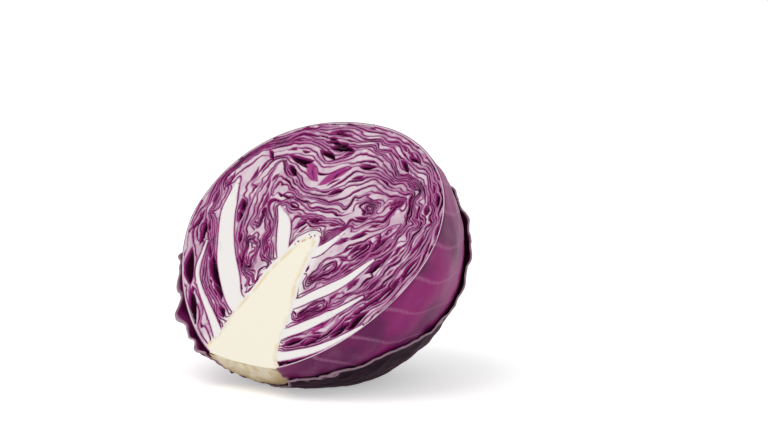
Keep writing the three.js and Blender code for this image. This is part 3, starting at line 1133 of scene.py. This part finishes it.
@dataclass(frozen=True)
class DryStem:
    """The stem's old cut end: dry, fibrous and beige, browner at its rim."""

    name: str = "dry_cabbage_stem"
    fresh: str = "#efe4ca"
    fibre: str = "#dfcba6"
    rim: str = "#cbb088"

    def build(self) -> bpy.types.Material:
        """Builds the material."""
        material, tree = new_material(self.name)
        colour = mixed(tree, ramped(tree, noise(tree, 4, 5), 0.42, 0.66), self.fresh, self.fibre)
        colour = mixed(tree, mark(tree, "dry"), colour, self.rim)
        finish_material(tree, colour, noise(tree, 1.2, 5), {"Roughness": 0.8, "IOR": 1.4}, 0.35)
        return material


def standing(place: Array, back: Array) -> Matrix:
    """The placing of a light or camera that stands at a place and has its back to a direction."""
    right = np.cross((0, 0, 1), back)
    right /= np.linalg.norm(right)
    rows = np.stack([right, np.cross(back, right), back], 1)
    return Matrix.Translation(place) @ Matrix(rows.tolist()).to_4x4()


@dataclass(frozen=True)
class Lamp:
    """A square soft light, aimed at the middle of the cabbage."""

    name: str
    place: tuple[float, float, float]
    size: float  # its side, in metres
    power: float  # in watts
    aim: tuple[float, float, float] = (0, 0, 0.07)

    def build(self) -> None:
        """Hangs the light."""
        data = bpy.data.lights.new(self.name, "AREA")
        data.size, data.energy = self.size, self.power
        lamp = bpy.data.objects.new(self.name, data)
        back = np.array(self.place, float) - np.array(self.aim, float)
        back /= np.linalg.norm(back)
        lamp.matrix_world = standing(self.place, back)
        bpy.context.scene.collection.objects.link(lamp)


@dataclass(frozen=True)
class Studio:
    """White floor and backdrop, soft lights and the camera."""

    camera_turn: float = 38.5  # degrees to the right of the cut face
    camera_rise: float = 7.96  # degrees above the level
    distance: float = 1.278
    aim: tuple[float, float, float] = (0.0464, 0.0, 0.0901)
    lens: float = 121.875
    sensor: float = 36.0
    floor_glow: float = 0.42  # light that the floor seems to give off, as the camera sees it
    surround: tuple[float, float] = (0.64, 1.0)  # its light on the cabbage, and as it is seen
    lamps: tuple[Lamp, ...] = (
        Lamp("key", (-0.3, -0.75, 1.6), 1.2, 10.2),
        Lamp("fill", (1.2, -0.4, 0.9), 1.0, 0.9),
    )

    @staticmethod
    def seen_directly(tree: bpy.types.NodeTree) -> bpy.types.NodeSocket:
        """1 for rays from the camera, from a reflection or through something clear, else 0."""
        path = add_node(tree, "ShaderNodeLightPath").outputs
        seen = path["Is Camera Ray"]
        for other in ("Is Glossy Ray", "Is Transmission Ray"):
            seen = worked_out(tree, "MAXIMUM", seen, path[other])
        return seen

    def floor(self) -> bpy.types.Object:
        """A wide white floor that keeps the soft shadow."""
        material, tree = new_material("white_paper")
        paper = {"Base Color": "#f6f6f6", "Roughness": 1.0, "Specular IOR Level": 0.0}
        shader = add_node(tree, "ShaderNodeBsdfPrincipled", paper)
        seen = self.seen_directly(tree)
        strength = add_node(tree, "ShaderNodeMapRange", {3: 0.0, 4: self.floor_glow}, {0: seen}).outputs[0]
        glow = add_node(tree, "ShaderNodeEmission", {"Color": "#ffffff"}, {"Strength": strength})
        both = add_node(tree, "ShaderNodeAddShader", None, {0: shader.outputs[0], 1: glow.outputs[0]})
        add_node(tree, "ShaderNodeOutputMaterial", None, {"Surface": both.outputs[0]})
        bm = bmesh.new()
        bmesh.ops.create_grid(bm, x_segments=1, y_segments=1, size=6.0)
        mesh = bpy.data.meshes.new("floor")
        bm.to_mesh(mesh)
        bm.free()
        floor = show(mesh, "floor", material)
        return floor

    def world(self) -> None:
        """An even white surround, seen as white by the camera and by reflections."""
        world = bpy.data.worlds.new("surround")
        bpy.context.scene.world = world
        world.use_nodes = True
        tree = world.node_tree
        tree.nodes.clear()
        seen = self.seen_directly(tree)
        unseen_light, seen_light = self.surround
        reach = {3: unseen_light, 4: seen_light}
        strength = add_node(tree, "ShaderNodeMapRange", reach, {0: seen}).outputs[0]
        light = add_node(tree, "ShaderNodeBackground", {"Color": "#ffffff"}, {"Strength": strength})
        add_node(tree, "ShaderNodeOutputWorld", None, {"Surface": light.outputs[0]})

    def camera(self) -> None:
        """A long lens, low and to the right of the cut face."""
        data = bpy.data.cameras.new("camera")
        data.lens, data.sensor_width = self.lens, self.sensor
        data.clip_start, data.clip_end = 0.05, 30.0
        camera = bpy.data.objects.new("camera", data)
        turn, rise = math.radians(self.camera_turn), math.radians(self.camera_rise)
        level = math.cos(rise)
        back = np.array((level * math.sin(turn), -level * math.cos(turn), math.sin(rise)))
        camera.matrix_world = standing(np.array(self.aim) + self.distance * back, back)
        bpy.context.scene.collection.objects.link(camera)
        bpy.context.scene.camera = camera

    def build(self) -> None:
        """Sets the whole stage."""
        self.floor()
        self.world()
        for lamp in self.lamps:
            lamp.build()
        self.camera()


# --- The cabbage ---


@dataclass
class CutFace:
    """Everything that shows on the cut: the core, the midribs and the cut leaves."""

    head: HeadFrame
    pattern: CutPattern
    flesh: bpy.types.Material
    depth: float = 7.0  # how deep the cut leaves are modelled
    taper: float = 0.97
    groove: float = 0.05  # half the gap between two leaves
    outer_skin: float = 1.0  # room for the outermost leaf
    bare: float = 1.5  # depth from any skin that the sawn edge of the stem counts as
    rib_seed: int = 500
    leaf_seed: int = 100

    @property
    def inside(self) -> Array:
        """Distance in from where the cut leaves end. At the butt they reach the very edge."""
        grid = self.pattern.grid
        butt = (np.abs(grid.across) < BUTT_RADIUS + 0.5) & (grid.up < BUTT_ZONE_TOP)
        return self.pattern.inset - np.where(butt, 0, self.outer_skin)

    def heights(self, sheet: Sheet, rind: Array, tissue: Array, seed: int) -> Array:
        """How far the cut face stands out at each point of a sheet."""
        grid = self.pattern.grid
        across = grid.LEFT + sheet.column * grid.step
        up = grid.BOTTOM + sheet.row * grid.step
        rng = np.random.default_rng(seed)
        lean = 0.42 * waves(rng, across, up, 14, 40, 10) * (1 - eased(tissue, -5, 0))
        rounding = -0.24 * np.exp(-rind / 0.22)
        return lean + rounding - sheet.sample(self.pattern.sink)

    def piece(
        self, name: str, node: str, slot: str, field: Array, chosen: Array | None, seed: int, skinned: Array
    ) -> None:
        """Builds one piece of the cut face.

        Args:
            name: the piece's name.
            node: the CAD node that it stands for.
            slot: not used.
            field: distance in from the piece's edge, over the grid.
            chosen: the cells that belong to it, or None for all.
            seed: picks its own small lean.
            skinned: distance in from the nearest skin. A leaf has none where it joins the core.
        """
        mesh = self.mesh(name, field, chosen, seed, skinned)
        if mesh is not None:
            stand_for(show(mesh, name, self.flesh), node)

    def mesh(
        self, name: str, unclipped: Array, chosen: Array | None, seed: int, skinned: Array | None = None
    ) -> bpy.types.Mesh | None:
        """The closed mesh of one piece of the cut face, or None if nothing of it shows.

        Args:
            name: the piece's name.
            unclipped: distance in from the piece's edge, over the grid.
            chosen: the cells that belong to it, or None for all.
            seed: picks its own small lean.
            skinned: distance in from the nearest skin, where that is not the piece's edge.
        """
        sheet = Sheet.from_field(np.minimum(unclipped, self.inside), chosen)
        if not sheet.polygons:
            return None
        grid, pattern, head = self.pattern.grid, self.pattern, self.head
        across = grid.LEFT + sheet.column * grid.step
        up = grid.BOTTOM + sheet.row * grid.step
        from_skin = unclipped if skinned is None else skinned
        rind = np.maximum(np.minimum(sheet.sample(from_skin), sheet.sample(pattern.inset)), 0)
        sawn = (np.abs(across) < BUTT_RADIUS) & (up < BUTT_LEVEL + 2)
        rind = np.where(sawn, self.bare, rind)
        tissue = sheet.sample(pattern.tissue)
        marks = {
            "rind": rind,
            "sink": sheet.sample(pattern.sink),
            "pith": np.maximum(eased(tissue, -0.2, 1.2), 0.9 * eased(sheet.sample(pattern.core), -6, -0.5)),
            "thick": 1 / sheet.sample(pattern.crowding),
            "cream": sheet.sample(pattern.cream),
        }
        out = self.heights(sheet, rind, tissue, seed)
        mesh = sheet_mesh(name, head.place(across, up, out), sheet, marks)

        def underside(places: Array, _: Array) -> Array:
            """Behind the cut face, drawn in towards the middle of the head."""
            local = places - head.centre
            out_of = (local @ head.cut_normal)[:, None] * head.cut_normal
            return head.centre + (local - out_of) * self.taper + out_of - self.depth * MM * head.cut_normal

        thicken(mesh, underside, facing=head.cut_normal)
        return mesh

    def build(self) -> dict[str, bpy.types.Mesh]:
        """Builds every piece. Returns the meshes of pieces that other classes finish."""
        pattern = self.pattern
        owners = ["stem_core"] + [rib.node for rib in RIBS]
        fields = [pattern.core] + [pattern.ribs[rib.node] for rib in RIBS]
        ribbed = {rib.leaf: rib for rib in RIBS}
        for leaf in ribbed:
            owners.append(f"leaf_{leaf + 1:02d}")
            fields.append(pattern.band(leaf) - self.groove)
        stack = np.stack(fields)
        joined = stack.max(0)
        centre = stack[:, :-1, :-1] + stack[:, 1:, :-1] + stack[:, :-1, 1:] + stack[:, 1:, 1:]
        owner = centre.argmax(0)
        line = np.abs(pattern.level - np.rint(pattern.level)) / pattern.crowding
        skinned = np.where(pattern.core > -1, np.maximum(joined, line), joined)
        kept = {}
        for name in dict.fromkeys(owners):
            chosen = np.isin(owner, [i for i, other in enumerate(owners) if other == name])
            if name in ("leaf_01", "stem_core"):
                kept[name] = self.mesh(name, joined, chosen, self.rib_seed, skinned)
                continue
            slot = "midrib" if name.startswith("midrib") else "leaf"
            seed = self.rib_seed + len(kept)
            self.piece(f"{name}_cut", name, slot, joined, chosen, seed, skinned)
        for leaf in range(LEAF_COUNT + 1):
            if leaf in ribbed:
                continue
            field = np.minimum(pattern.band(leaf), -pattern.tissue) - self.groove
            node = f"leaf_{leaf + 1:02d}" if leaf < LEAF_COUNT else "heart"
            skinned = np.minimum(pattern.band(leaf), -pattern.any_rib) - self.groove
            self.piece(f"{node}_cut", node, "leaf", field, None, self.leaf_seed + leaf, skinned)
        return kept


@dataclass(frozen=True)
class Veins:
    """The veins of one leaf: a midrib, side veins that branch off it, and small ones that cross them.

    Lengths are in millimetres. Along is up the leaf, and away is from its midrib.
    """

    midrib_turn: float
    spacing: float  # between side veins along the midrib
    width: float  # of the midrib at the foot
    slant: float = 0.62  # how steeply the side veins climb
    bend: float = 0.0022  # and how that steepness grows outwards
    stagger: float = 0.45  # of the two sides, as a share of the spacing
    side_strength: float = 0.6
    cross_slant: float = 0.75
    cross_spacing: float = 1.37  # as a share of the spacing
    cross_width: float = 0.8
    cross_strength: float = 0.35

    def strength(self, shape: "HeadShape", turn: Array, rise: Array) -> Array:
        """How strongly the veins show at each point, from 0 to 1.

        Args:
            shape: the head that the leaf lies on.
            turn: turn of each point.
            rise: rise of each point.
        """
        off = (turn - self.midrib_turn) * np.maximum(shape.profile(turn, rise, Measure.RADIUS), 6)
        along = rise * shape.length
        away = np.abs(off)
        midrib = np.exp(-((away / (self.width * (1.05 - rise) * 0.5 + 0.25)) ** 2))
        side = np.where(off > 0, 0.0, self.stagger)
        wander = 1.6 * np.sin(away / 11 + side * 9) + 1.1 * np.sin(away / 5.3 + along / 23)
        start = along - self.slant * away - self.bend * away**2 + wander
        step = start / self.spacing + side
        near = np.abs(step - np.rint(step)) * self.spacing * 0.72
        thin = 0.6 * np.exp(-away / 45) + 0.6
        veins = np.exp(-((near / thin) ** 2)) * np.exp(-away / 90) * (start > 4)
        cross = along + self.cross_slant * away + 1.8 * np.sin(away / 9 + 1) + 1.3 * np.sin(along / 12)
        step = cross / (self.cross_spacing * self.spacing)
        near = np.abs(step - np.rint(step)) * self.cross_spacing * self.spacing * 0.75
        patchy = 0.5 + 0.5 * np.sin(along / 17 + away / 23)
        crossing = self.cross_strength * np.exp(-((near / self.cross_width) ** 2)) * patchy
        return np.clip(np.maximum(midrib, np.maximum(self.side_strength * veins, crossing)), 0, 1)


@dataclass
class OuterLeaf:
    """The outermost whole leaf: it covers the back and shows its thin cut edge."""

    shape: HeadShape
    skin: bpy.types.Material
    thickness: float = 1.0
    ground: float = 2.6  # the wrapper leaf lies under it
    veins: Veins = Veins(midrib_turn=-0.06, spacing=21, width=3)
    seed: int = 21

    def build(self, cut: bpy.types.Mesh, flesh: bpy.types.Material) -> None:
        """Builds the leaf and joins its cut part to it."""
        bm = bmesh.new()
        bmesh.ops.create_grid(bm, x_segments=180, y_segments=120, size=0.5)
        params = np.array([vert.co for vert in bm.verts]) + 0.5
        turn, rise = params[:, 0] * math.pi, params[:, 1]
        rng = np.random.default_rng(self.seed)
        radius = np.maximum(self.shape.profile(turn, rise, Measure.RADIUS), 5)
        x, y = turn * 60, rise * self.shape.length
        veins = self.veins.strength(self.shape, turn, rise)
        buckle = 0.35 * waves(rng, x, y, 22, 50, 20) + 0.12 * waves(rng, x, y, 8, 16, 20)
        free = eased(np.minimum(turn, math.pi - turn) * radius, 0, 10)
        lift = (buckle + 0.5 * veins) * free
        places = self.shape.place(turn, rise, lift, self.ground)
        layers = {name: bm.verts.layers.float.new(name) for name in ("rind", "vein", "rise")}
        for vert, place, vein, up in zip(bm.verts, places, veins, rise):
            vert.co = place
            vert[layers["vein"]] = vein
            vert[layers["rise"]] = up
        bmesh.ops.remove_doubles(bm, verts=bm.verts[:], dist=1e-6)
        mesh = bpy.data.meshes.new("leaf_01_skin")
        bm.to_mesh(mesh)
        bm.free()
        thicken(mesh, lambda places, normals: places - normals * self.thickness * MM, 1.0, True)
        piece = show(mesh, "leaf_01_skin", self.skin)
        stand_for(piece, "leaf_01")
        stand_for(show(cut, "leaf_01_cut", flesh), "leaf_01")


@dataclass
class WrapperLeaf:
    """What is left of the wrapper leaf: it cups the back and the foot, with a torn, dry margin."""

    shape: HeadShape
    skin: bpy.types.Material
    thickness: float = 0.9
    clearance: float = 0.5
    veins: Veins = Veins(midrib_turn=1.45, spacing=19, width=9)
    seed: int = 5
    top: float = 0.93  # the rise where it is torn off below the crown
    # the right margin keeps to one turn at the foot and to another up the side, and is torn off above
    foot_turn: float = 0.4
    side_turn: float = 0.6
    torn_turn: float = 1.1
    side_from: float = 0.15
    side_at: float = 0.45
    torn_from: float = 0.74
    torn_at: float = 0.84
    # rise and turn along the left margin, from the foot to the crown
    left_margin: tuple[Point, ...] = ((0.0, 3.1), (0.35, 3.1), (0.5, 2.85), (1.0, 2.9))
    # how far the right margin stands off the head, by rise
    right_flare: tuple[Point, ...] = ((0.0, 0.8), (0.3, 0.5), (0.5, 1.3), (0.7, 1.6), (0.85, 0.2))
    # ruffles on the left margin: rise, height, half width along the margin
    ruffles: tuple[tuple[float, float, float], ...] = (
        (0.04, 3.2, 0.018), (0.1, 4.4, 0.024), (0.17, 6.0, 0.028), (0.25, 3.8, 0.026), (0.33, 2.2, 0.03),
    )

    def build(self) -> None:
        """Builds the leaf."""
        shape = self.shape
        turns, rises = np.linspace(0.0, math.pi, 250), np.linspace(0.0, 0.985, 180)
        turn, rise = np.meshgrid(turns, rises)
        rng = np.random.default_rng(self.seed)
        radius = np.maximum(shape.profile(turn, rise, Measure.RADIUS), 8)
        x, y = turn * 65, rise * shape.length
        right = self.foot_turn + (self.side_turn - self.foot_turn) * eased(rise, self.side_from, self.side_at)
        right = right + (self.torn_turn - self.side_turn) * eased(rise, self.torn_from, self.torn_at)
        left = np.interp(rise, *zip(*self.left_margin))
        beyond = np.minimum(turn - right, left - turn) * radius
        ragged = 1.1 * waves(rng, x, y, 9, 24, 20) + 0.5 * waves(rng, x, y, 3, 7, 20)
        margin = blurred(beyond, 6) + ragged * np.where(turn < 1.5, 0.8, 0.35)
        margin = np.minimum(margin, (rise - 0.012) * shape.length + 0.3 * ragged)
        margin = np.minimum(margin, (self.top - rise) * shape.length + ragged)
        sheet = Sheet.from_field(margin)
        turn, rise, inset = (sheet.sample(values) for values in (turn, rise, margin))
        x, y = turn * 65, rise * shape.length
        veins = self.veins.strength(shape, turn, rise)
        ruffle = 1 + 0.3 * waves(rng, x, y, 9, 18, 20)
        right_flare = np.interp(rise, *zip(*self.right_flare)) * np.exp(-np.maximum(inset, 0) / 5)
        left_flare = 0.3 + sum(high * np.exp(-(((rise - at) / wide) ** 2)) for at, high, wide in self.ruffles)
        left_flare = left_flare * np.exp(-np.maximum(inset, 0) / 6)
        flare = ruffle * np.where(turn < math.pi / 2, right_flare, left_flare)
        buckle = 0.5 * waves(rng, x, y, 20, 45, 20) + 0.15 * waves(rng, x, y, 6, 12, 20)
        lift = self.clearance + self.thickness + 0.6 * np.abs(buckle) + np.maximum(flare, 0) + 0.8 * veins
        places = shape.place(turn, rise, lift, 0.0)
        marks = {
            "rind": 0 * inset,
            "vein": veins,
            "margin": np.maximum(inset, 0),
            "fresh": eased(turn, 2.3, 2.8),
        }
        mesh = sheet_mesh("wrapper_leaf_skin", places, sheet, marks)

        def underside(places: Array, normals: Array) -> Array:
            """The leaf's inner side, kept above its outer side where it is pressed flat."""
            moved = places - normals * self.thickness * MM
            pressed = places[:, 2] < self.clearance * MM
            lowest = np.where(pressed, places[:, 2] + self.thickness * MM, 0)
            moved[:, 2] = np.maximum(moved[:, 2], lowest)
            return moved

        thicken(mesh, underside, 0.3, True)
        stand_for(show(mesh, "wrapper_leaf_skin", self.skin), "wrapper_leaf")


@dataclass
class StemEnd:
    """The butt of the stem below the cut face: a rough half disc, dry and tan at its rim."""

    head: HeadFrame
    material: bpy.types.Material
    depth_share: float = 0.8
    seed: int = 3
    # radius and level, from the middle of the butt round its rim, up the side and back to the axis
    path: tuple[Point, ...] = (
        (0.0, -75.0), (21.5, -75.2), (23.2, -74.6), (23.8, -73.4), (22.6, -68), (19.5, -58), (0.0, -57),
    )

    def build(self) -> None:
        """Builds the stem's end along its path."""
        bm = bmesh.new()
        bmesh.ops.create_grid(bm, x_segments=90, y_segments=70, size=0.5)
        params = np.array([vert.co for vert in bm.verts]) + 0.5
        turn, run = params[:, 0] * math.pi, params[:, 1]
        rng = np.random.default_rng(self.seed)
        path = np.array(self.path)
        length = np.concatenate([[0], np.cumsum(np.linalg.norm(np.diff(path, axis=0), axis=1))])
        at = run * length[-1]
        radius, level = np.interp(at, length, path[:, 0]), np.interp(at, length, path[:, 1])
        across, out = radius * np.cos(turn), -radius * np.sin(turn) * self.depth_share
        rough = 0.16 * waves(rng, across, out, 3, 9, 30) + 0.45 * waves(rng, across, out, 12, 30, 12)
        face = eased(-level, 70, 74.5)
        level = level + rough * face * eased(-out, 0.0, 2.5)
        level += np.where(across > 0, 0.11, 0.04) * np.abs(across) * face
        places = self.head.place(across, level, out - 0.1 - 5 * eased(level, -74, -71))
        layers = {name: bm.verts.layers.float.new(name) for name in ("rind", "dry")}
        for vert, place, dry in zip(bm.verts, places, eased(radius, 16, 23) * face):
            vert.co = place
            vert[layers["dry"]] = dry
        bmesh.ops.remove_doubles(bm, verts=bm.verts[:], dist=1e-6)
        open_edges = [edge for edge in bm.edges if edge.is_boundary]
        bmesh.ops.holes_fill(bm, edges=open_edges, sides=0)
        bmesh.ops.recalc_face_normals(bm, faces=bm.faces[:])
        for face_ in bm.faces:
            face_.smooth = len(face_.verts) <= 4
        mesh = bpy.data.meshes.new("stem_end")
        bm.to_mesh(mesh)
        bm.free()
        stand_for(show(mesh, "stem_end", self.material), "stem_core")


def main() -> None:
    """Builds the cabbage and its stage."""
    logging.basicConfig(level=logging.INFO, format="%(message)s")
    bpy.context.scene.view_settings.view_transform = "Standard"
    head = HeadFrame.from_stem(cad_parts["stem_core"])
    pattern = CutPattern(CutGrid(0.3))
    flesh = CutFlesh().build()
    kept = CutFace(head, pattern, flesh).build()
    shape = HeadShape(head)
    OuterLeaf(shape, LeafSkin().build()).build(kept["leaf_01"], flesh)
    WrapperLeaf(shape, WrapperSkin().build()).build()
    StemEnd(head, DryStem().build()).build()
    stand_for(show(kept["stem_core"], "stem_core_cut", flesh), "stem_core")
    Studio().build()


if __name__ == "__main__":
    main()
